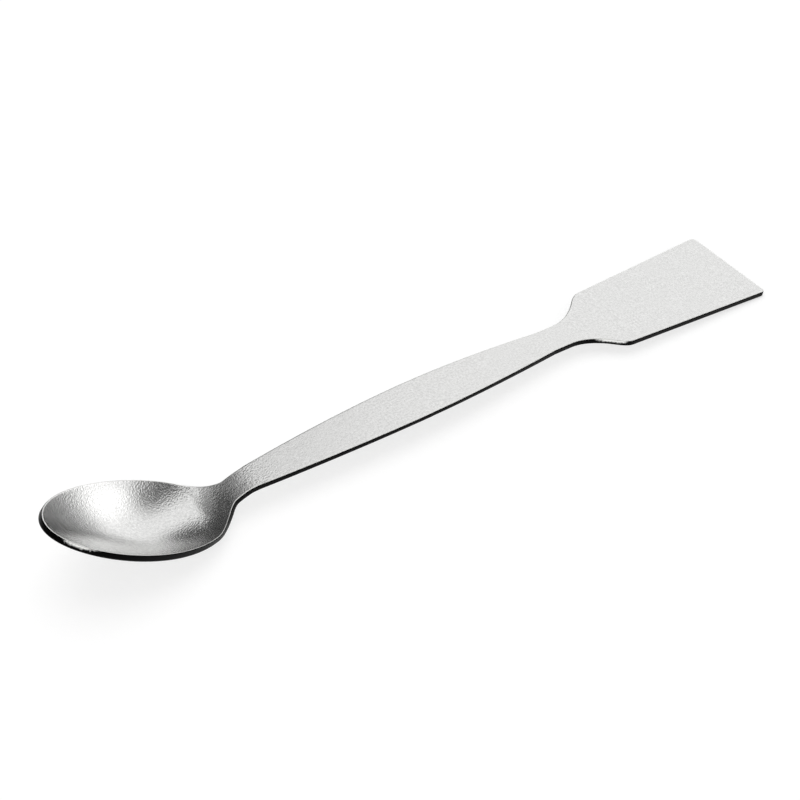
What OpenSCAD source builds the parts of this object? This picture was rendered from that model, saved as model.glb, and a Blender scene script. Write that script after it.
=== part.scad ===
// Laboratory spatula: a spoon at one end and a flat flared blade at the other, stamped
// from one strip of stainless steel sheet, with every cut edge rounded over.
//
// Millimetres. X runs along the length from the spoon's tip to the blade's end, Y runs
// across and Z points up. The origin is on the table, under the middle of the spatula,
// which lies as it comes to rest: on the bottom of the bowl and the end of the blade.
//
// The sheet's upper face is a height over the plan. The outline, the side profile and
// the bowl are functions of x, the distance from the tip, and the underside follows the
// upper face at the sheet's thickness, measured square to it. The strip is rolled a
// little thinner where it spreads wide, round the spoon and along the handle. The blank
// is trimmed after it is pressed, so the cut edge stands nearly upright round the bowl.

/* [Overall] */
// Length from the spoon's tip to the blade's end
overall_length = 150; // [130:1:210]
// Thickness of the blade and of both necks
sheet = 1.2; // [0.9:0.1:1.6]
// Thickness of the handle at its widest place
handle_sheet = 1; // [0.8:0.1:1.6]
// Thickness round the front of the spoon
spoon_sheet = 1.1; // [0.8:0.1:1.6]
// Size of the rounding along both corners of the cut edge
edge_round = 0.3; // [0.1:0.05:0.35]
// Lean of the cut edge: 0 is upright, 1 is square to the strip
edge_lean = 0.28; // [0:0.02:1]

/* [Spoon] */
// Width across the rim
spoon_width = 19.7; // [14:0.1:24]
// Length of the rim from the tip to its widest place
spoon_front = 16.3; // [13:0.1:20]
// Length of the rim's oval from the widest place to its heel
spoon_back = 15; // [12:0.1:18]
// Depth of the bowl below its rim
bowl_depth = 4.4; // [3:0.1:7]
// How far the bowl runs out into the neck beyond the oval
bowl_runout = 2; // [1:0.2:4]
// Upward tilt of the rim toward the tip, in degrees
rim_tilt = 27.7; // [15:0.1:30]
// Sag of the rim between the tip and the heel, seen from the side
rim_sag = 0.36; // [0:0.02:1]

/* [Front neck] */
// Width of the neck behind the spoon
front_neck_width = 5.4; // [4:0.1:8]
// Distance from the oval's heel to the narrowest place of the neck
front_neck_length = 4.3; // [3:0.1:8]
// Size of the fillet between the oval and the neck
spoon_fillet = 5.1; // [2:0.1:6]
// Height that the neck climbs from the rim's heel to the handle
neck_climb = 3.3; // [2:0.1:5]
// Slope of the climb, in degrees
neck_slope = 44; // [30:1:50]
// Distance from the oval's heel back to the foot of the climb
heel_setback = 2.9; // [2:0.1:5]
// Half the length of the bend at the foot of the climb
heel_bend = 2.3; // [2:0.1:4]
// Half the length of the bend at the top of the climb
neck_bend = 5.9; // [4:0.1:7]

/* [Handle] */
// Width of the handle at its widest place
handle_width = 9.8; // [8:0.1:13]
// Where the handle is widest, from 0 at the front neck to 1 at the rear neck
handle_middle = 0.55; // [0.4:0.05:0.65]
// Fullness of the handle's sides: 1 is straight tapers, 2 is rounded
handle_fullness = 1.8; // [1.4:0.1:2.2]
// Downward bend of the handle toward the blade, in degrees
handle_bend = 3.4; // [0:0.1:6]
// Half the length of that bend
handle_bend_reach = 28; // [10:1:30]

/* [Blade] */
// Length of the blade from its shoulders to its end
blade_length = 33.6; // [26:0.2:45]
// Width of the blade at its shoulders
shoulder_width = 17.4; // [14:0.2:22]
// Width of the blade at its end
blade_width = 21.5; // [16:0.1:26]
// Radius of the corners at the blade's end
corner_radius = 0.9; // [0.5:0.1:3]
// Width of the neck in front of the blade
rear_neck_width = 6.3; // [5:0.1:8]
// Distance from the narrowest place of the rear neck to the shoulders
rear_neck_length = 13.8; // [12:0.2:20]
// Angle between the shoulders and the length, in degrees
shoulder_angle = 50; // [40:1:60]
// Size of the hollow fillet between the neck and the shoulders
flare_fillet = 6.2; // [3:0.1:7]
// Size of the rounding on the shoulders
shoulder_round = 1.6; // [0.5:0.1:2.5]

/* [Hidden] */

// Rows of facets along the rim's front, the bowl and neck, the handle, the flare, the
// blade and its corners, across the sheet, and round each corner of the edge
front_rows = 20;
bowl_rows = 26;
handle_rows = 20;
flare_rows = 20;
blade_rows = 3;
corner_rows = 5;
cross_rows = 16;
edge_rows = 4;
// Step used to take slopes
tiny = 0.01;

half_spoon = spoon_width / 2;
spoon_end = spoon_front + spoon_back;
bowl_end = spoon_end + bowl_runout;

// The foot of the tip's cut edge leans out past the outline of the upper face
tip_slope = atan(tan(rim_tilt) + 2 * bowl_depth / spoon_front);
tip_angle = edge_lean * rim_tilt;
tip_lean = (spoon_sheet / cos(tip_slope - tip_angle) - edge_round) * sin(tip_angle);
outline_length = overall_length - tip_lean;

front_neck_x = spoon_end + front_neck_length;
shoulder_x = outline_length - blade_length;
rear_neck_x = shoulder_x - rear_neck_length;
middle_x = front_neck_x + handle_middle * (rear_neck_x - front_neck_x);

climb_foot_x = spoon_end - heel_setback;
climb_top_x = climb_foot_x + neck_climb / tan(neck_slope);

// A ramp of slope 1 from 0 up, with a bend that reaches h to each side of 0
function ramp(d, h) = d <= -h ? 0 : d >= h ? d : pow(d + h, 2) / (4 * h);
// The larger and the smaller of two values, rounded off where they are within h
function larger(a, b, h) = b + ramp(a - b, h);
function smaller(a, b, h) = b - ramp(b - a, h);
function unit(v) = v / norm(v);
function steps(a, b, n) = [for (i = [1 : n]) a + (b - a) * i / n];

// --- Outline: half the width, squared, at x ---

function oval_squared(x) = let (reach = x < spoon_front ? spoon_front : spoon_back)
    half_spoon * half_spoon * (1 - pow((x - spoon_front) / reach, 2));

// How far the strip is spread at x: 0 at either neck and beyond, 1 at the middle
function spread(x) = let (
        reach = x < middle_x ? middle_x - front_neck_x : rear_neck_x - middle_x)
    1 - pow(min(1, abs(x - middle_x) / reach), handle_fullness);

function handle_half(x) = let (
        neck = (x < middle_x ? front_neck_width : rear_neck_width) / 2)
    neck + (handle_width / 2 - neck) * spread(x);

function blade_half(x) = let (
        side = (shoulder_width + (blade_width - shoulder_width) * (x - shoulder_x) / blade_length) / 2,
        flare = shoulder_width / 2 + (x - shoulder_x) * tan(shoulder_angle))
    smaller(larger(handle_half(x), flare, flare_fillet), side, shoulder_round);

function half_squared(x) =
    x < spoon_front ? oval_squared(x)
    : x < middle_x ? larger(oval_squared(x), pow(handle_half(x), 2), spoon_fillet * spoon_fillet)
    : pow(blade_half(x), 2);

// --- Side profile: height of the flat sheet's upper face, before it is set down ---

function sag(x) = let (s = min(1, x / spoon_end)) rim_sag * pow(4 * s * (1 - s), 2);

function profile(x) =
    - tan(neck_slope) * ramp(climb_top_x - x, neck_bend)
    + (tan(neck_slope) + tan(rim_tilt)) * ramp(climb_foot_x - x, heel_bend)
    - tan(handle_bend) * ramp(x - middle_x, handle_bend_reach)
    - sag(x);

// --- Thickness of the sheet at x ---

function fade(x, a, b) = let (s = max(0, min(1, (x - a) / (b - a)))) s * s * (3 - 2 * s);
function thickness(x) =
    sheet + (handle_sheet - sheet) * spread(x)
    + (spoon_sheet - sheet) * (1 - fade(x, spoon_front, front_neck_x));

// --- Bowl: a paraboloid in front, run out gently into the neck behind ---

function bowl_share(x) =
    x < spoon_front ? 1
    : x < bowl_end ? half_spoon * half_spoon / half_squared(x)
        * pow(1 - pow((x - spoon_front) / (bowl_end - spoon_front), 2), 2)
    : 0;

function bowl(x, y) = let (
        across = half_squared(x) - y * y)
    bowl_depth * bowl_share(x) * across / (half_spoon * half_spoon);

// --- Upper face, its slopes and its normal ---

function upper(x, y, settle) = profile(x) - bowl(x, y) + settle * (outline_length - x);
function slope_x(x, y, settle) =
    (upper(x + tiny, y, settle) - upper(x - tiny, y, settle)) / (2 * tiny);
function slope_y(x, y, settle) =
    (upper(x, y + tiny, settle) - upper(x, y - tiny, settle)) / (2 * tiny);
function normal(x, y, settle) = unit([-slope_x(x, y, settle), -slope_y(x, y, settle), 1]);

// --- Underside: every point lies below one of the upper face, down the cut edge's lean ---

function edge_up(x) = let (
        lean = edge_lean * atan((profile(x + tiny) - profile(x - tiny)) / (2 * tiny)))
    [-sin(lean), 0, cos(lean)];
function drop(x, y, settle) = thickness(x) / (normal(x, y, settle) * edge_up(x)) * edge_up(x);
function lower(x, y, settle) = [x, y, upper(x, y, settle)] - drop(x, y, settle);

// The spatula is set down by the slope of the line that touches both the bowl's
// underside and the end of the blade
end_height = profile(outline_length) - sheet;
settle = max([for (x = steps(0, bowl_end, 200)) let (p = lower(x, 0, 0))
    (end_height - p.z) / (outline_length - edge_round - p.x)]);

// --- Stations along one side of the outline: place and outward direction ---

side_angle = atan((blade_width - shoulder_width) / 2 / blade_length);
corner_x = outline_length - corner_radius;
corner_y = sqrt(half_squared(corner_x)) - corner_radius / cos(side_angle);

side_x = concat(
    [for (i = [0 : front_rows]) spoon_front * (1 - cos(90 * i / front_rows))],
    steps(spoon_front, front_neck_x, bowl_rows),
    steps(front_neck_x, rear_neck_x, handle_rows),
    steps(rear_neck_x, shoulder_x + shoulder_round, flare_rows),
    steps(shoulder_x + shoulder_round, corner_x - corner_radius, blade_rows));

side = concat(
    [for (x = side_x) let (
            y = sqrt(max(0, half_squared(x))),
            opening = (half_squared(x + tiny) - half_squared(x - tiny)) / (4 * tiny),
            out = unit([-opening, y]))
        [x, y, out.x, out.y]],
    [for (i = [0 : corner_rows]) let (a = -side_angle + (90 + side_angle) * i / corner_rows)
        [corner_x + corner_radius * sin(a), corner_y + corner_radius * cos(a), sin(a), cos(a)]]);
last = len(side) - 1;

// The whole outline: the tip, the +Y side, the blade's end and the -Y side
outline = concat(
    side,
    [for (j = [1 : cross_rows - 1]) [outline_length, corner_y * (1 - 2 * j / cross_rows), 1, 0]],
    [for (i = [last : -1 : 1]) let (s = side[i]) [s[0], -s[1], s[2], -s[3]]]);
around = len(outline);

// --- Section of the cut edge: shares of the rounding taken inward along the sheet and up
// the edge, and which corner they are taken from, 0 for the upper and 1 for the lower ---

edge = concat(
    [for (i = [0 : edge_rows]) let (s = i / edge_rows) [pow(1 - s, 2), -s * s, 0]],
    [for (i = [0 : edge_rows]) let (s = i / edge_rows) [s * s, pow(1 - s, 2), 1]]);
rings = len(edge);

function edge_point(s, e) = let (
        n = normal(s[0], s[1], settle),
        rise = slope_x(s[0], s[1], settle) * -s[3] + slope_y(s[0], s[1], settle) * s[2],
        out = unit(cross([-s[3], s[2], rise], n)))
    [s[0], s[1], upper(s[0], s[1], settle)] - e[2] * drop(s[0], s[1], settle)
    + edge_round * (e[1] * edge_up(s[0]) - e[0] * out);

// --- Faces of the sheet between the two sides, row by row ---

function inner_point(i, j, under) = let (
        p = edge_point(side[i], edge[0]),
        y = p.y * (1 - 2 * j / cross_rows))
    under ? lower(p.x, y, settle) : [p.x, y, upper(p.x, y, settle)];

points = concat(
    [for (e = edge) for (s = outline) edge_point(s, e)],
    [for (under = [false, true]) for (i = [1 : last - 1]) for (j = [1 : cross_rows - 1])
        inner_point(i, j, under)]);

// Index of a point of the sheet's face: i along the side, j across, on either face
function index(i, j, under) =
    let (ring = under ? (rings - 1) * around : 0,
         inner = rings * around + (under ? (last - 1) * (cross_rows - 1) : 0))
    i == 0 ? ring
    : j == 0 ? ring + i
    : j == cross_rows ? ring + around - i
    : i == last ? ring + last + j
    : inner + (i - 1) * (cross_rows - 1) + j - 1;

function turned(f, under) = under ? [f[2], f[1], f[0]] : f;

faces = concat(
    [for (under = [false, true]) for (i = [0 : last - 1]) for (j = [0 : cross_rows - 1])
        let (a = index(i, j, under), b = index(i, j + 1, under),
             c = index(i + 1, j + 1, under), d = index(i + 1, j, under))
        each i == 0 ? [turned([a, d, c], under)] : [turned([a, d, c], under), turned([a, c, b], under)]],
    [for (r = [0 : rings - 2]) for (k = [0 : around - 1])
        let (a = r * around + k, b = r * around + (k + 1) % around)
        each [[a, a + around, b + around], [a, b + around, b]]]);

floor_z = min([for (p = points) p.z]);

module spatula() {
    color("silver")
        translate([tip_lean - overall_length / 2, 0, -floor_z])
            polyhedron(points, faces, convexity = 6);
}

spatula();
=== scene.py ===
# %% [markdown]
# # A laboratory spatula in stainless steel
# A spoon spatula is stamped from one strip of stainless sheet: a shallow bowl at one end for
# scooping powder, a flat flared blade at the other for levelling and scraping it. There is
# nothing to assemble, so the whole lesson is about one continuous skin and its finish.
#
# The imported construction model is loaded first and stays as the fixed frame. It is made of
# flat facets, which show in polished metal, so the steel is drawn again here as a much finer
# skin on the same formulas, and it takes the place of the construction part.

import bmesh
import bpy
import numpy as np
from mathutils import Matrix, Vector


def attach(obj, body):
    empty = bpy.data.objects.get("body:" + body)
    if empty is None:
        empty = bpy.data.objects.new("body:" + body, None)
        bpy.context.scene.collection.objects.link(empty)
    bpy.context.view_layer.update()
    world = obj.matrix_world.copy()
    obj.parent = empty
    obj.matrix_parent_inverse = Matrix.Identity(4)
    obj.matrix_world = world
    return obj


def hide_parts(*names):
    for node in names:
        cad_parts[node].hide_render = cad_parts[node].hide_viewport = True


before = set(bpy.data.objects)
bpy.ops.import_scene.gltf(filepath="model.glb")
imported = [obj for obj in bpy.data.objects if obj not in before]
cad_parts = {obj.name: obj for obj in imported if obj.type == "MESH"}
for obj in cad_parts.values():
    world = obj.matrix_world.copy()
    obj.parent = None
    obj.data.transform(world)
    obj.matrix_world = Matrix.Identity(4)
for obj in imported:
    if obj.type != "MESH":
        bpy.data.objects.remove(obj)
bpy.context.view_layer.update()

# %% [markdown]
# ## Sizes
# Every size is in millimetres and has the same name as in the construction model. They are the
# numbers a toolmaker would dimension: the oval of the spoon, the necks, the handle's slow
# swell, the flare of the blade and the bends seen from the side. Inside the same length, the
# blade is a little longer here than in the construction model, and the rest is one to three per
# cent smaller to make room for it. The cut edge leans out further than it does there, most of
# all at the tip, which has a lean of its own.

# %% Sizes in millimetres
overall_length = 150
sheet, handle_sheet, spoon_sheet = 1.2, 1.0, 1.1
edge_round, edge_lean, tip_edge_lean = 0.3, 0.7, 1.6

spoon_width, spoon_front, spoon_back = 19.45, 15.5, 14.8
bowl_depth, bowl_runout = 4.35, 1.95
rim_tilt, rim_sag = 27.7, 0.36

front_neck_width, front_neck_length, spoon_fillet = 5.35, 4.25, 5.05
neck_climb, neck_slope = 3.25, 44
heel_setback, heel_bend, neck_bend = 2.85, 2.25, 5.8

handle_width, handle_middle, handle_fullness = 9.65, 0.55, 1.8
handle_bend, handle_bend_reach = 3.4, 27.5

blade_length, shoulder_width, blade_width, corner_radius = 35.1, 17.2, 21.45, 0.9
rear_neck_width, rear_neck_length = 6.2, 13.6
shoulder_angle, flare_fillet, shoulder_round = 50, 6.1, 1.6


# %% Places along the length that follow from the sizes
def tan(degrees):
    """The tangent of an angle given in degrees."""
    return np.tan(np.radians(degrees))


half_spoon = spoon_width / 2
spoon_end = spoon_front + spoon_back
bowl_end = spoon_end + bowl_runout

# The edge leans out at the tip, so its lower corner stands out past the blank's outline: by
# the way down the edge times the sine of its lean, less what the corner's rounding takes off.
tip_slope = np.arctan(tan(rim_tilt) + 2 * bowl_depth / spoon_front)
tip_angle = np.radians(tip_edge_lean * rim_tilt)
lean, level = np.sin(tip_angle), np.cos(tip_slope)
tip_overhang = spoon_sheet / np.cos(tip_slope - tip_angle) * lean
tip_lean = tip_overhang - edge_round * lean * level / (lean + level)
outline_length = overall_length - tip_lean

front_neck_x = spoon_end + front_neck_length
shoulder_x = outline_length - blade_length
rear_neck_x = shoulder_x - rear_neck_length
middle_x = front_neck_x + handle_middle * (rear_neck_x - front_neck_x)
climb_foot_x = spoon_end - heel_setback
climb_top_x = climb_foot_x + neck_climb / tan(neck_slope)
print(f"necks at {front_neck_x:.1f} and {rear_neck_x:.1f} mm, shoulders at {shoulder_x:.1f} mm")

# %% [markdown]
# ## Soft corners from one function
# Nearly every change on a stamped part is a bend or a fillet of some size. All of them here
# come from one function, a ramp whose corner is a short parabola. The larger of two widths,
# joined through that ramp, is a hollow fillet; the smaller of two is a rounded shoulder.


# %% Ramps and fillets
def ramp(d, h):
    """0 up to -h, d itself from h on, and between them the parabola (d + h) squared over 4h."""
    return np.where(d <= -h, 0, np.where(d >= h, d, (d + h) ** 2 / (4 * h)))


def larger(a, b, h):
    """The larger of a and b, with their meeting filled in within h."""
    return b + ramp(a - b, h)


def smaller(a, b, h):
    """The smaller of a and b, with their meeting rounded off within h."""
    return b - ramp(b - a, h)


def unit(v):
    """Each vector divided by its length."""
    return v / np.linalg.norm(v, axis=-1, keepdims=True)


# %% [markdown]
# ## The outline of the blank
# Seen from above the blank is an oval, a neck, a handle that swells and tapers, a second neck
# and a trapezium. It could be drawn as a curve with a hundred points. One formula for half the
# width at each place along the length is shorter, and it stays smooth at any resolution.


# %% Half the width along the length
def oval_squared(x):
    """Half width squared of the spoon's oval: one minus the square of the distance from the
    widest place over the reach of that end, times the half spoon width squared."""
    reach = np.where(x < spoon_front, spoon_front, spoon_back)
    return half_spoon**2 * (1 - ((x - spoon_front) / reach) ** 2)


def spread(x):
    """0 at the necks and 1 at the handle's middle: one minus the share of the way from the
    middle to the neck, raised to the fullness."""
    reach = np.where(x < middle_x, middle_x - front_neck_x, rear_neck_x - middle_x)
    return 1 - np.minimum(1, np.abs(x - middle_x) / reach) ** handle_fullness


def handle_half(x):
    """Half the neck's width plus the spread's share of what the handle has more."""
    neck = np.where(x < middle_x, front_neck_width, rear_neck_width) / 2
    return neck + (handle_width / 2 - neck) * spread(x)


def blade_half(x):
    """The handle's half width filleted into a slanted shoulder, rounded into the blade's side."""
    side = (shoulder_width + (blade_width - shoulder_width) * (x - shoulder_x) / blade_length) / 2
    flare = shoulder_width / 2 + (x - shoulder_x) * tan(shoulder_angle)
    return smaller(larger(handle_half(x), flare, flare_fillet), side, shoulder_round)


def half_squared(x):
    """Half width squared: the oval, filleted into the handle, and from the middle the blade."""
    front = larger(oval_squared(x), handle_half(x) ** 2, spoon_fillet**2)
    return np.where(x < spoon_front, oval_squared(x), np.where(x < middle_x, front, blade_half(x) ** 2))


# %% [markdown]
# ## The bends seen from the side
# The press bends the strip four times: the rim of the spoon tilts up toward the tip and sags a
# little on the way, the neck climbs out of the bowl, it levels off, and the handle droops
# gently toward the blade. The sheet is rolled a little thinner where the strip spreads wide.


# %% Side profile and thickness
def profile(x):
    """Height of the flat strip: three ramps, one for each bend, less the sag of the rim."""
    s = np.minimum(1, x / spoon_end)
    return (
        -tan(neck_slope) * ramp(climb_top_x - x, neck_bend)
        + (tan(neck_slope) + tan(rim_tilt)) * ramp(climb_foot_x - x, heel_bend)
        - tan(handle_bend) * ramp(x - middle_x, handle_bend_reach)
        - rim_sag * (4 * s * (1 - s)) ** 2
    )


def fade(x, a, b):
    """0 up to a, 1 from b on, and the smooth cubic step between them."""
    s = np.clip((x - a) / (b - a), 0, 1)
    return s * s * (3 - 2 * s)


def thickness(x):
    """The sheet's thickness, thinner by shares along the handle and round the spoon."""
    front = 1 - fade(x, spoon_front, front_neck_x)
    return sheet + (handle_sheet - sheet) * spread(x) + (spoon_sheet - sheet) * front


# %% [markdown]
# ## The pressed bowl
# The bowl is the hard part. It is a paraboloid whose rim is the outline itself, and behind the
# widest place it has to run out into the narrow neck with no crease. Sculpting it would leave
# the rim uneven. Sinking the strip in proportion to how far each point lies inside the outline
# keeps the rim exact, and a factor that fades to nothing leads the hollow into the neck.


# %% Bowl, upper face and its normal
nudge = 0.01  # the step in millimetres over which slopes are measured


def bowl(x, y):
    """How far the press sinks the sheet: the depth times the distance inside the outline,
    half width squared less y squared, over the half spoon width squared. Behind the widest
    place it is scaled to full depth and faded out by the square of a parabola."""
    behind = np.clip((x - spoon_front) / (bowl_end - spoon_front), 0, 1)
    scale = np.where(x < spoon_front, 1, half_spoon**2 / np.maximum(half_squared(x), 1e-9))
    share = scale * (1 - behind**2) ** 2
    return bowl_depth * share * (half_squared(x) - y * y) / half_spoon**2


def upper(x, y):
    """Height of the upper face: the profile less the bowl, tipped by the resting slope."""
    return profile(x) - bowl(x, y) + settle * (outline_length - x)


def slopes(x, y):
    """Slope of the upper face along x and along y: the difference in height one nudge to
    either side, over two nudges."""
    along = (upper(x + nudge, y) - upper(x - nudge, y)) / (2 * nudge)
    sideways = (upper(x, y + nudge) - upper(x, y - nudge)) / (2 * nudge)
    return along, sideways


def normal(x, y):
    """Direction square to the upper face: one over the two slopes, each with its sign turned."""
    along, sideways = slopes(x, y)
    return unit(np.stack([-along, -sideways, np.ones_like(along)], -1))


# %% [markdown]
# ## The underside and how the spatula rests
# A press squeezes the sheet but does not fold it, so the underside follows the upper face at
# the sheet's thickness. Two separate skins would drift apart at the rim. Here every lower point
# hangs from an upper one, down the direction of the cut edge, which stands almost upright along
# the sides and leans out with the sheet at the tip. The whole strip is then tipped until the
# bowl and the end of the blade touch the table together.


# %% Underside, resting slope and floor height
def edge_up(x):
    """Direction up the cut edge: upright, leaning by a share of the strip's own slope, and by
    a larger share toward the tip, where the bowl's slope adds to it."""
    share = tip_edge_lean + (edge_lean - tip_edge_lean) * fade(x, 0, spoon_front)
    lean = share * np.arctan((profile(x + nudge) - profile(x - nudge)) / (2 * nudge))
    return np.stack([-np.sin(lean), 0 * lean, np.cos(lean)], -1)


def drop(x, y):
    """Way from an upper point to the lower one: as long as it must be along the edge's
    direction for the sheet to keep its thickness square to its face."""
    up = edge_up(x)
    return (thickness(x) / (normal(x, y) * up).sum(-1))[..., None] * up


def lower(x, y):
    """The point of the underside that belongs to the upper point at x, y."""
    return np.stack([x, y, upper(x, y)], -1) - drop(x, y)


# The keel is the middle line under the bowl. It is worked out with no resting slope first. The
# slope that brings bowl and blade to the table together is the steepest one from any point of
# the keel to the end of the blade, and with that slope the keel is worked out again.
keel_x = np.linspace(0, bowl_end, 401)[1:]
settle = 0.0
keel = lower(keel_x, 0 * keel_x)
end_height = profile(outline_length) - sheet
settle = float(((end_height - keel[:, 2]) / (outline_length - edge_round - keel[:, 0])).max())

keel = lower(keel_x, 0 * keel_x)
touch = keel[keel[:, 2].argmin()]
floor_height = touch[2]
print(f"resting slope {np.degrees(np.arctan(settle)):.2f} degrees, on the table at x {touch[0]:.1f} mm")

# %% [markdown]
# ## Stations round the outline
# The skin needs places to hang from. They stand two or three tenths of a millimetre apart round
# the spoon, its neck and the blade's shoulders, half a millimetre apart where the outline runs
# straight, and a tenth apart round the blade's small corners. Each keeps the direction that
# points out of the blank there.

# %% Stations along one side, then all the way round
tip_stations, spoon_stations, handle_stations = 76, 84, 150
flare_stations, blade_stations, corner_stations = 90, 60, 14
across = 56  # steps from one side to the other
tiny = 0.001

side_angle = np.arctan((blade_width - shoulder_width) / 2 / blade_length)
corner_x = outline_length - corner_radius
corner_y = float(np.sqrt(half_squared(np.array(corner_x)))) - corner_radius / np.cos(side_angle)
flare_end_x = shoulder_x + 2 * shoulder_round
side_end_x = corner_x - corner_radius * np.sin(side_angle)

side_x = np.concatenate(
    [
        spoon_front * (1 - np.cos(np.linspace(0, np.pi / 2, tip_stations))),
        np.linspace(spoon_front, front_neck_x, spoon_stations)[1:],
        np.linspace(front_neck_x, rear_neck_x, handle_stations)[1:],
        np.linspace(rear_neck_x, flare_end_x, flare_stations)[1:],
        np.linspace(flare_end_x, side_end_x, blade_stations)[1:],
    ]
)
side_y = np.sqrt(np.maximum(half_squared(side_x), 0))
opening = (half_squared(side_x + tiny) - half_squared(side_x - tiny)) / (4 * tiny)
side_out = unit(np.stack([-opening, side_y], -1))

turn = np.linspace(-side_angle, np.pi / 2, corner_stations)[1:]
turn_out = np.stack([np.sin(turn), np.cos(turn)], -1)
side_x = np.concatenate([side_x, corner_x + corner_radius * turn_out[:, 0]])
side_y = np.concatenate([side_y, corner_y + corner_radius * turn_out[:, 1]])
side_out = np.concatenate([side_out, turn_out])

end_y = corner_y * (1 - 2 * np.arange(1, across) / across)
end_out = np.tile([1.0, 0.0], (across - 1, 1))
ring_x = np.concatenate([side_x, np.full(across - 1, outline_length), side_x[:0:-1]])
ring_y = np.concatenate([side_y, end_y, -side_y[:0:-1]])
ring_out = np.concatenate([side_out, end_out, side_out[:0:-1] * [1, -1]])
print(len(side_x), "stations a side,", len(ring_x), "round the outline")

# %% [markdown]
# ## The cut edge
# Tumbling rounds both corners of the sheared edge by a few tenths of a millimetre, and those
# two thin rounds are what catches the light along the rim. A Bevel modifier would do it on a
# plain plate, but the edge meets the bowl at a sharp angle that changes all the way round. The
# rounds are drawn as parabolas between the face and the edge, which suit any angle.


# %% The band of the cut edge
def cut_edge(x, y, out, inward, upward, foot):
    """Points of the edge's section at each station. From the upper corner, or from the lower
    one where foot is 1, a share of the rounding is taken inward along the sheet and a share
    up the edge. out is the direction out of the blank, and the wall direction is square to
    both the rim and the sheet's normal."""
    along, sideways = slopes(x, y)
    rim = np.stack([-out[:, 1], out[:, 0], -out[:, 1] * along + out[:, 0] * sideways], -1)
    wall = unit(np.cross(rim, normal(x, y)))
    top = np.stack([x, y, upper(x, y)], -1)
    inward, upward, foot = inward[:, None, None], upward[:, None, None], foot[:, None, None]
    return top - foot * drop(x, y) + edge_round * (upward * edge_up(x) - inward * wall)


# 8 points round each corner and 5 down the plain wall between them, where the share taken up
# the edge runs from one corner's end to the other's.
corner = np.linspace(0, 1, 8)
plain = np.linspace(0, 1, 7)[1:-1]
none = np.zeros_like(plain)
inward = np.concatenate([(1 - corner) ** 2, none, corner**2])
upward = np.concatenate([-(corner**2), 2 * plain - 1, (1 - corner) ** 2])
foot = np.concatenate([0 * corner, plain, 1 + 0 * corner])
band = cut_edge(ring_x, ring_y, ring_out, inward, upward, foot)
print("edge band", band.shape[:2], "points")

# %% [markdown]
# ## The two faces
# The upper face is filled across, from one inner line of the band to the other. The underside
# takes the same places and drops each to the lower side. Their borders are the band's own
# first and last lines, so the three grids close into one skin when equal points are merged.


# %% Upper face and underside
def face(points_of, border):
    """A grid of one row a station by across + 1 columns: even steps between the inner line of
    the band on one side and its mirror on the other. The border's own points go round it."""
    share = 1 - 2 * np.arange(across + 1) / across
    stations = len(side_x)
    line = band[0, :stations]
    x = np.repeat(line[:, :1], across + 1, axis=1)
    grid = points_of(x, line[:, 1:2] * share)
    grid[:, 0], grid[:, -1] = border[:stations], border[:stations] * [1, -1, 1]
    grid[0], grid[-1] = border[0], border[stations - 1 : stations + across]
    return grid


upper_face = face(lambda x, y: np.stack([x, y, upper(x, y)], -1), band[0])
under_face = face(lower, band[-1])
print("faces", upper_face.shape[:2], "points each")

# %% [markdown]
# ## Into one mesh
# foreach_set takes the whole arrays at once, which is far quicker than adding vertices one by
# one. The grids share their border points, so merging what coincides closes the skin, and
# counting the edges that lack a second face shows that it has.


# %% Grids to cells, and cells to a mesh
def quads(rows, columns, first=0, closed=False):
    """Four corners of each cell of a grid, counted row by row from the number first."""
    at = first + np.arange(rows * columns).reshape(rows, columns)
    if closed:
        at = np.concatenate([at, at[:, :1]], axis=1)
    return np.stack([at[:-1, :-1], at[1:, :-1], at[1:, 1:], at[:-1, 1:]], -1).reshape(-1, 4)


def new_mesh(name, points, cells):
    """A mesh of four-sided cells from an array of points and one of corner numbers."""
    mesh = bpy.data.meshes.new(name)
    mesh.vertices.add(len(points))
    mesh.vertices.foreach_set("co", points.astype(np.float32).ravel())
    mesh.loops.add(cells.size)
    mesh.loops.foreach_set("vertex_index", cells.astype(np.int32).ravel())
    mesh.polygons.add(len(cells))
    mesh.polygons.foreach_set("loop_start", np.arange(0, cells.size, 4, dtype=np.int32))
    mesh.update(calc_edges=True)
    return mesh


to_table = np.array([tip_lean - overall_length / 2, 0, -floor_height])
parts = [upper_face, under_face, band]
plan = np.concatenate([p.reshape(-1, 3) for p in parts])
points = (plan + to_table) * 0.001
starts = np.cumsum([0] + [p.shape[0] * p.shape[1] for p in parts])
cells = np.concatenate(
    [
        quads(*upper_face.shape[:2], starts[0])[:, ::-1],
        quads(*under_face.shape[:2], starts[1]),
        quads(*band.shape[:2], starts[2], closed=True)[:, ::-1],
    ]
)
mesh = new_mesh("stamped_strip", points, cells)
print(len(points), "points,", len(cells), "cells before merging")

# %% [markdown]
# ## What the finish needs to know
# A finish that depends on where the metal has been can't be a pattern in space. Three numbers are kept
# on every point for it to read: how far round the cut edge the point lies, from 0 on the upper face to
# 1 on the underside; how far the press stretched it; and how squarely the edge there faces the
# direction of its painted highlight.

# %% Three numbers for every point
# Millimetres from the tip between which the press starts to stretch the sheet and does so in
# full, and between which the stretching ends behind the front neck.
stretch_starts, stretch_full = 9, 25
stretch_fades, stretch_ends = front_neck_x + 1, front_neck_x + 9
# Degrees: the azimuth that the cut edge's painted highlight faces, and how far off it the highlight is
# full and gone.
highlight_azimuth, highlight_full, highlight_none = -132, 2, 24

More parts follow.
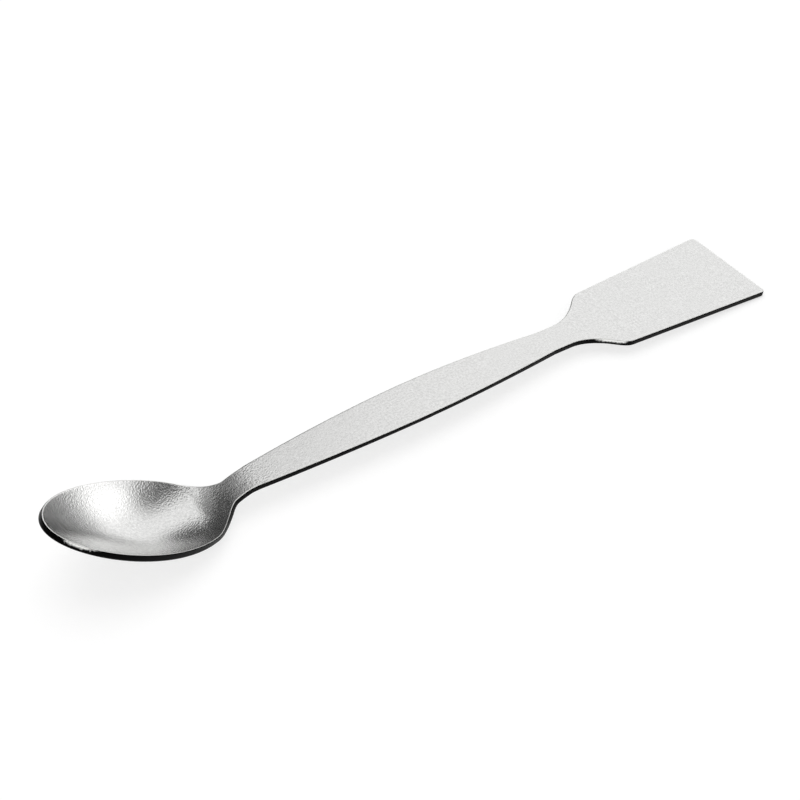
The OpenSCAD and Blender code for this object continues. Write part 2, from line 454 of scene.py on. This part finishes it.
around_edge = np.linspace(0, 1, band.shape[0])
edge_share = np.concatenate(
    [np.zeros(starts[1]), np.ones(starts[2] - starts[1]), np.repeat(around_edge, band.shape[1])]
)
pulled = fade(plan[:, 0], stretch_starts, stretch_full)
stretched = pulled * (1 - fade(plan[:, 0], stretch_fades, stretch_ends))
# Painted highlight: 1 where the cut edge faces that azimuth squarely, fading to 0 further off, and 0
# off the edge.
highlight_direction = np.radians(highlight_azimuth)
facing = np.clip(ring_out @ [np.cos(highlight_direction), np.sin(highlight_direction)], -1, 1)
highlight_share = 1 - fade(np.degrees(np.arccos(facing)), highlight_full, highlight_none)
edge_highlight = np.concatenate([np.zeros(starts[2]), np.tile(highlight_share, band.shape[0])])
for name, values in (("around_edge", edge_share), ("stretch", stretched), ("edge_highlight", edge_highlight)):
    mesh.attributes.new(name, "FLOAT", "POINT").data.foreach_set("value", values.astype(np.float32))
print(int((stretched > 0).sum()), "points stretched,", int((edge_highlight > 0).sum()), "blasted bare")

# %% Equal points merged, and the skin measured
shell = bmesh.new()
shell.from_mesh(mesh)
bmesh.ops.remove_doubles(shell, verts=shell.verts, dist=1e-7)
open_edges = sum(not e.is_manifold for e in shell.edges)
volume = shell.calc_volume(signed=True) * 1e9
shell.to_mesh(mesh)
shell.free()
mesh.polygons.foreach_set("use_smooth", np.ones(len(mesh.polygons), bool))
strip = bpy.data.objects.new("stamped_strip", mesh)
bpy.context.scene.collection.objects.link(strip)
print(len(mesh.polygons), "cells,", open_edges, "open edges,", round(volume, 1), "mm3 of steel")

# %% The strip stands for the construction part
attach(strip, "root")
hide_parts("spatula")

# %% [markdown]
# ## Colour and node helpers
# Colours are chosen on a screen, as sRGB hex, while a renderer counts light in linear steps.
# One function turns the first into the second. Another adds any node with its settings and
# its links, so a material reads as a short list of what was done to the metal.


# %% Helpers for materials
def linear(code):
    """An sRGB hex colour as linear red, green and blue, with an alpha of 1: each channel over
    12.92 where it is dark, and else ((c + 0.055) / 1.055) to the power 2.4."""
    c = np.array([int(code[i : i + 2], 16) for i in (1, 3, 5)]) / 255
    return (*np.where(c <= 0.04045, c / 12.92, ((c + 0.055) / 1.055) ** 2.4).tolist(), 1.0)


def add(tree, kind, inputs=None, **settings):
    """Adds a node. settings are the node's own, and inputs are its sockets by name or number:
    a socket of another node is linked, and anything else is set as the value."""
    node = tree.nodes.new(kind)
    for name, value in settings.items():
        setattr(node, name, value)
    for key, value in (inputs or {}).items():
        if isinstance(value, bpy.types.NodeSocket):
            tree.links.new(value, node.inputs[key])
        else:
            node.inputs[key].default_value = value
    return node


def new_material(name):
    """An empty material with nodes, and its tree."""
    material = bpy.data.materials.new(name)
    material.use_nodes = True
    material.node_tree.nodes.clear()
    return material, material.node_tree


def per_mm(size):
    """The scale of a noise whose grains are this many millimetres wide: 1000 over it."""
    return 1000 / size


print("a grain of 0.5 mm is a noise scale of", per_mm(0.5))

# %% [markdown]
# ## Stainless steel, bead blasted and tumbled
# Chromium nickel steel is a pale, almost neutral grey. The blank is blasted before it is tumbled, which
# leaves a fine frosted grain: it has no direction, unlike a brushed finish, and it spreads a reflection
# without hiding it. In the bowl the press stretches the sheet, and the grain opens into the deeper
# texture that pressers call orange peel. The tumbling stones wear the corners more satin than the
# faces, and the upper corner also has a painted highlight: its colour is brighter than the faces'.

# %% Tumbled steel
# Widths in millimetres. The blast grain is about 0.15 mm. One that fine is lost between the
# pixels of a picture, so it is drawn at 0.26 mm. The specks are its lighter and darker spots,
# and the clouds are the slow change of tone that tumbling leaves.
grain_width, peel_width, speck_width, cloud_width = 0.26, 0.28, 0.4, 9
grain_depth, peel_depth = 0.000018, 0.00005  # in metres
wear_and_highlight_to = 0.1  # how far round the cut edge the corner is worn satin and has a painted highlight, of 1 in all

tumbled, tree = new_material("stainless_steel_tumbled_with_painted_corner_highlight")
place = add(tree, "ShaderNodeTexCoord").outputs["Object"]
edge = add(tree, "ShaderNodeAttribute", attribute_name="around_edge").outputs["Fac"]
stretch = add(tree, "ShaderNodeAttribute", attribute_name="stretch").outputs["Fac"]
grain = add(tree, "ShaderNodeTexNoise", {"Vector": place, "Scale": per_mm(grain_width), "Detail": 0.5})
peel = add(tree, "ShaderNodeTexNoise", {"Vector": place, "Scale": per_mm(peel_width), "Detail": 0.5})
cloud = add(tree, "ShaderNodeTexNoise", {"Vector": place, "Scale": per_mm(cloud_width), "Detail": 2.0})
speck = add(tree, "ShaderNodeTexNoise", {"Vector": place, "Scale": per_mm(speck_width), "Detail": 1.0})

# %% Its shade: specks under clouds, and a painted highlight where a corner is worn
contrast = add(
    tree,
    "ShaderNodeMapRange",
    {"Value": speck.outputs["Fac"], "From Min": 0.25, "From Max": 0.75},
)
shade = add(
    tree,
    "ShaderNodeMix",
    {"Factor": contrast.outputs["Result"], "A": linear("#CECECD"), "B": linear("#F6F6F5")},
    data_type="RGBA",
)
tone = add(
    tree,
    "ShaderNodeMix",
    {"Factor": cloud.outputs["Fac"], "A": shade.outputs["Result"], "B": linear("#E4E4E3")},
    data_type="RGBA",
)
# The ping-pong counts up to the middle of the edge and down again, so both faces are 0.
from_face = add(tree, "ShaderNodeMath", {0: edge, 1: 0.5}, operation="PINGPONG").outputs[0]
# Painted highlight: the colour grows brighter over the first tenth of the way round the cut edge, and
# stays bright up to where the sheared finish begins.
painted_highlight = add(tree, "ShaderNodeMapRange", {"Value": from_face, "From Min": 0.0, "From Max": wear_and_highlight_to})
colour = add(
    tree,
    "ShaderNodeMix",
    {"Factor": painted_highlight.outputs["Result"], "A": tone.outputs["Result"], "B": linear("#FAFAF8")},
    data_type="RGBA",
)

# %% Its roughness and grain, and the finished steel
frosted = add(
    tree,
    "ShaderNodeMapRange",
    {"Value": grain.outputs["Fac"], "To Min": 0.2, "To Max": 0.28},
)
satin = add(
    tree,
    "ShaderNodeMapRange",
    {"Value": from_face, "From Max": wear_and_highlight_to, "To Min": frosted.outputs["Result"], "To Max": 0.5},
)
grain_bump = add(
    tree,
    "ShaderNodeBump",
    {"Height": grain.outputs["Fac"], "Strength": 1.0, "Distance": grain_depth},
)
peel_bump = add(
    tree,
    "ShaderNodeBump",
    {
        "Height": peel.outputs["Fac"],
        "Strength": stretch,
        "Distance": peel_depth,
        "Normal": grain_bump.outputs["Normal"],
    },
)
steel = add(
    tree,
    "ShaderNodeBsdfPrincipled",
    {
        "Base Color": colour.outputs["Result"],
        "Metallic": 1.0,
        "Roughness": satin.outputs["Result"],
        "Normal": peel_bump.outputs["Normal"],
    },
)
add(tree, "ShaderNodeOutputMaterial", {"Surface": steel.outputs["BSDF"]})
print(tumbled.name, len(tree.nodes), "nodes")

# %% [markdown]
# ## Stainless steel, sheared
# The cut edge keeps the torn, dull skin of the shear. Its colour is painted almost black, a painted
# dark reflection, so it reads as a thin dark line drawn round the whole outline. Only where the edge
# faces azimuth -132 degrees squarely does its upper half get a painted highlight, a pale streak with a
# torn border.

# %% Sheared edge
tear_width, tear_depth = 0.4, 0.00006  # in millimetres and in metres
pale_to, dark_from = 0.3, 0.75  # how far round the edge a streak is pale, and dark again

sheared, tree = new_material("stainless_steel_sheared_edge_painted_dark_and_highlight")
place = add(tree, "ShaderNodeTexCoord").outputs["Object"]
edge = add(tree, "ShaderNodeAttribute", attribute_name="around_edge").outputs["Fac"]
tear = add(
    tree,
    "ShaderNodeTexNoise",
    {"Vector": place, "Scale": per_mm(tear_width), "Detail": 4.0, "Roughness": 0.7},
)
# Painted dark reflection: the edge's colour is almost black, varied a little by the tear noise.
painted_dark_edge = add(
    tree,
    "ShaderNodeMix",
    {"Factor": tear.outputs["Fac"], "A": linear("#020202"), "B": linear("#0C0C0C")},
    data_type="RGBA",
)
# Painted highlight: a pale streak on the upper part of the edge where it faces that azimuth, with a
# ragged border from the tear noise.
faces_highlight = add(tree, "ShaderNodeAttribute", attribute_name="edge_highlight").outputs["Fac"]
streak_reach = add(
    tree,
    "ShaderNodeMapRange",
    {"Value": edge, "From Min": pale_to, "From Max": dark_from, "To Min": faces_highlight, "To Max": 0.0},
)
ragged_reach = add(
    tree,
    "ShaderNodeMath",
    {0: streak_reach.outputs["Result"], 1: tear.outputs["Fac"]},
    operation="ADD",
)
pale_streak = add(
    tree,
    "ShaderNodeMapRange",
    {"Value": ragged_reach.outputs[0], "From Min": 0.95, "From Max": 1.4},
)
edge_colour = add(
    tree,
    "ShaderNodeMix",
    {"Factor": pale_streak.outputs["Result"], "A": painted_dark_edge.outputs["Result"], "B": linear("#F2F2F0")},
    data_type="RGBA",
)
tear_bump = add(
    tree,
    "ShaderNodeBump",
    {"Height": tear.outputs["Fac"], "Strength": 0.5, "Distance": tear_depth},
)
cut = add(
    tree,
    "ShaderNodeBsdfPrincipled",
    {
        "Base Color": edge_colour.outputs["Result"],
        "Metallic": 1.0,
        "Roughness": 0.45,
        "Normal": tear_bump.outputs["Normal"],
    },
)
add(tree, "ShaderNodeOutputMaterial", {"Surface": cut.outputs["BSDF"]})
print(sheared.name, len(tree.nodes), "nodes")

# %% [markdown]
# ## Which cell has which finish
# One mesh can carry both finishes, so no gap opens between the faces and the edge. A mask painted by
# hand would wander off the corner, while the number kept round the edge picks the cells exactly. The
# edge, with its painted dark reflection, is sheared from not quite half way round its upper corner down
# to the underside. All the rest, with the worn start of that corner and its painted highlight, is
# tumbled.

# %% Finish of each cell
sheared_from = 0.14

mesh.materials.append(tumbled)
mesh.materials.append(sheared)
share = np.zeros(len(mesh.vertices), np.float32)
mesh.attributes["around_edge"].data.foreach_get("value", share)
corners = np.zeros(len(mesh.loops), np.int32)
mesh.loops.foreach_get("vertex_index", corners)
loop_start = np.zeros(len(mesh.polygons), np.int32)
mesh.polygons.foreach_get("loop_start", loop_start)
lowest = np.minimum.reduceat(share[corners], loop_start)
highest = np.maximum.reduceat(share[corners], loop_start)
on_wall = (lowest >= sheared_from) & (highest > lowest)
mesh.polygons.foreach_set("material_index", on_wall.astype(np.int32))
mesh.update()
print(int(on_wall.sum()), "cells have the sheared finish")

# %% [markdown]
# ## Table and studio
# A pale table, a white room and one large soft lamp are the plainest way to show metal. More
# light would turn the table white and wash the piece out with it. Here the table and the room
# glow brighter to the camera and in mirrors than they light the piece, so they look white and
# the table keeps its shadow.


# %% Table
def seen_share(tree):
    """1 on rays from the camera and on those that metal or glass has turned, and else 0."""
    rays = add(tree, "ShaderNodeLightPath").outputs
    turned = add(
        tree,
        "ShaderNodeMath",
        {0: rays["Is Glossy Ray"], 1: rays["Is Transmission Ray"]},
        operation="ADD",
    )
    seen = add(
        tree,
        "ShaderNodeMath",
        {0: rays["Is Camera Ray"], 1: turned.outputs[0]},
        operation="ADD",
        use_clamp=True,
    )
    return seen.outputs[0]


table_side = 4  # in metres
board_glow = 0.55

square = np.array([[-1, -1, 0], [1, -1, 0], [1, 1, 0], [-1, 1, 0]]) * table_side / 2
table = bpy.data.objects.new("table_top", new_mesh("table_top", square, np.array([[0, 1, 2, 3]])))
bpy.context.scene.collection.objects.link(table)

paint, tree = new_material("white_lacquered_board")
lift = add(tree, "ShaderNodeMath", {0: seen_share(tree), 1: board_glow}, operation="MULTIPLY")
board = add(tree, "ShaderNodeBsdfDiffuse", {"Color": linear("#C0C0C0")})
glow = add(tree, "ShaderNodeEmission", {"Strength": lift.outputs[0]})
both = add(tree, "ShaderNodeAddShader", {0: board.outputs[0], 1: glow.outputs[0]})
add(tree, "ShaderNodeOutputMaterial", {"Surface": both.outputs[0]})
table.data.materials.append(paint)
print("table", table_side, "m square")

# %% Room
world = bpy.data.worlds.new("white_room")
bpy.context.scene.world = world
world.use_nodes = True
tree = world.node_tree
tree.nodes.clear()
daylight = add(tree, "ShaderNodeMapRange", {"Value": seen_share(tree), "To Min": 0.7, "To Max": 1.0})
air = add(
    tree,
    "ShaderNodeBackground",
    {"Color": linear("#FFFFFF"), "Strength": daylight.outputs["Result"]},
)
add(tree, "ShaderNodeOutputWorld", {"Surface": air.outputs[0]})
print(world.name, len(tree.nodes), "nodes")


# %% Lamp
def toward(azimuth, elevation):
    """Unit vector from the object: azimuth from +X toward +Y, elevation from the table up."""
    a, e = np.radians(azimuth), np.radians(elevation)
    return np.array([np.cos(a) * np.cos(e), np.sin(a) * np.cos(e), np.sin(e)])


def soft_lamp(name, azimuth, elevation, distance, width, height, power):
    """An area lamp that faces the object."""
    data = bpy.data.lights.new(name, "AREA")
    data.shape, data.size, data.size_y, data.energy = "RECTANGLE", width, height, power
    lamp = bpy.data.objects.new(name, data)
    away = Vector(toward(azimuth, elevation))
    lamp.location = away * distance
    lamp.rotation_euler = away.to_track_quat("Z", "Y").to_euler()
    lamp.visible_camera = lamp.visible_glossy = False
    bpy.context.scene.collection.objects.link(lamp)
    return lamp


softbox = soft_lamp(
    "overhead_softbox", azimuth=60, elevation=75, distance=1.0, width=0.9, height=0.9, power=3
)
print(softbox.name, softbox.data.energy, "W")

# %% [markdown]
# ## A light tent
# A metal has no look of its own, only what it mirrors. In an all-white room the bowl would be
# a white patch, so a studio shows metal in a tent of white cloth with openings and black cards
# in it, whose reflections draw the hollow. They could be many panels, each with hard borders.
# The tent here is one dome that only the metal sees. Each opening or card is an ellipse on it,
# and the cloth's glow blends into the ellipse's own glow across a soft border. A black card on
# the table does the same for the lowest reflections, which a dome can't reach.


# %% Tent
def tent_glow(a, e, patches):
    """1 for the cloth. Each patch gives its azimuth, elevation, two half sizes, turn, softness
    and glow: the distance is the square root of the sum of the squared offsets, turned and
    over the half sizes, and the patch takes over as it falls from 1 plus to 1 less softness."""
    glow = np.ones_like(a)
    for azimuth, elevation, half_a, half_e, turned, soft, own in patches:
        da, de = a - azimuth, e - elevation
        c, s = np.cos(np.radians(turned)), np.sin(np.radians(turned))
        distance = np.hypot((da * c + de * s) / half_a, (de * c - da * s) / half_e)
        glow = glow + (1 - fade(distance, 1 - soft, 1 + soft)) * (own - glow)
    return glow


def seen_by_metal(panel, glow, finish):
    """Keeps a glow on each point of a stage piece and hides the piece from all but metal."""
    kept = panel.data.attributes.new("glow", "FLOAT", "POINT")
    kept.data.foreach_set("value", glow.astype(np.float32).ravel())
    panel.data.materials.append(finish)
    panel.visible_camera = panel.visible_diffuse = panel.visible_shadow = False
    bpy.context.scene.collection.objects.link(panel)


cloth, tree = new_material("white_tent_cloth")
strength = add(tree, "ShaderNodeAttribute", attribute_name="glow").outputs["Fac"]
lit = add(tree, "ShaderNodeEmission", {"Strength": strength})
add(tree, "ShaderNodeOutputMaterial", {"Surface": lit.outputs[0]})

# Azimuth, elevation, half width, half height and turn in degrees, then softness and glow.
bright_window = (8, 19, 45, 7, -29, 0.6, 2.0)
dark_sill = (18, 0, 34, 12.8, -20, 0.22, 0.02)
dark_ceiling = (-90, 75, 98, 24.5, -16.5, 0.3, 0.05)
dark_back = (135, -10, 84, 45, -31, 0.12, 0.05)
grey_strip = (131, 54, 44, 12, -21, 0.7, 0.2)
patches = [bright_window, dark_sill, dark_ceiling, dark_back, grey_strip]

tent_radius = 0.7  # in metres
tent_columns, tent_rows = 181, 49
a, e = np.meshgrid(np.linspace(-170, 190, tent_columns), np.linspace(-8, 88, tent_rows))
dome = tent_radius * np.moveaxis(toward(a, e), 0, -1).reshape(-1, 3)
tent = new_mesh("light_tent", dome, quads(tent_rows, tent_columns))
seen_by_metal(bpy.data.objects.new("light_tent", tent), tent_glow(a, e, patches), cloth)
print("light tent of", len(tent.polygons), "cells with", len(patches), "openings and cards")

# %% Black card on the table behind the piece
# Metres: its sides, how far in from them it fades out, and its height over the table.
card_left, card_right, card_near, card_far = -0.06, 0.4, 0.02, 0.4
card_border, card_height = 0.02, 0.0002
card_columns, card_rows = 47, 39

felt, tree = new_material("black_card_on_table")
uncovered = add(tree, "ShaderNodeAttribute", attribute_name="glow").outputs["Fac"]
clear = add(tree, "ShaderNodeBsdfTransparent")
black = add(tree, "ShaderNodeBsdfDiffuse", {"Color": linear("#202020")})
mixed = add(tree, "ShaderNodeMixShader", {0: uncovered, 1: black.outputs[0], 2: clear.outputs[0]})
add(tree, "ShaderNodeOutputMaterial", {"Surface": mixed.outputs[0]})

card_x = np.linspace(card_left, card_right, card_columns)
card_y = np.linspace(card_near, card_far, card_rows)
gx, gy = np.meshgrid(card_x, card_y)
from_side = np.minimum(gx - card_left, card_right - gx)
from_end = np.minimum(gy - card_near, card_far - gy)
cover = fade(from_side, 0, card_border) * fade(from_end, 0, card_border)
sheet_points = np.stack([gx, gy, 0 * gx + card_height], -1).reshape(-1, 3)
card = new_mesh("table_card", sheet_points, quads(card_rows, card_columns))
seen_by_metal(bpy.data.objects.new("table_card", card), 1 - cover, felt)
print("table card", round(card_right - card_left, 2), "by", round(card_far - card_near, 2), "m")

# %% [markdown]
# ## Camera
# A 60 mm lens on a 36 mm frame, high up beyond the spoon's near side, looks along the handle
# toward the blade. A camera can be aimed at a point, but that leaves it no roll. Its own axes
# are worked out here from its heading, its height angle and a small roll, as one matrix.

# %% Camera
camera_at = (-0.103518, -0.143452, 0.175198)  # in metres
heading, height_angle, roll = np.radians([-33.788, 44.329, -0.194])

flat = np.cos(height_angle)
back = np.array([np.sin(heading) * flat, -np.cos(heading) * flat, np.sin(height_angle)])
right = np.array([np.cos(heading), np.sin(heading), 0])
up = np.cross(back, right)
right, up = np.cos(roll) * right + np.sin(roll) * up, np.cos(roll) * up - np.sin(roll) * right

lens = bpy.data.cameras.new("camera")
lens.lens, lens.sensor_width, lens.clip_start = 60, 36, 0.01
camera = bpy.data.objects.new("camera", lens)
rows = [[right[i], up[i], back[i], camera_at[i]] for i in range(3)]
camera.matrix_world = Matrix([*rows, [0, 0, 0, 1]])
bpy.context.scene.collection.objects.link(camera)
bpy.context.scene.camera = camera
bpy.context.scene.view_settings.view_transform = "Standard"
print("camera at", camera_at)
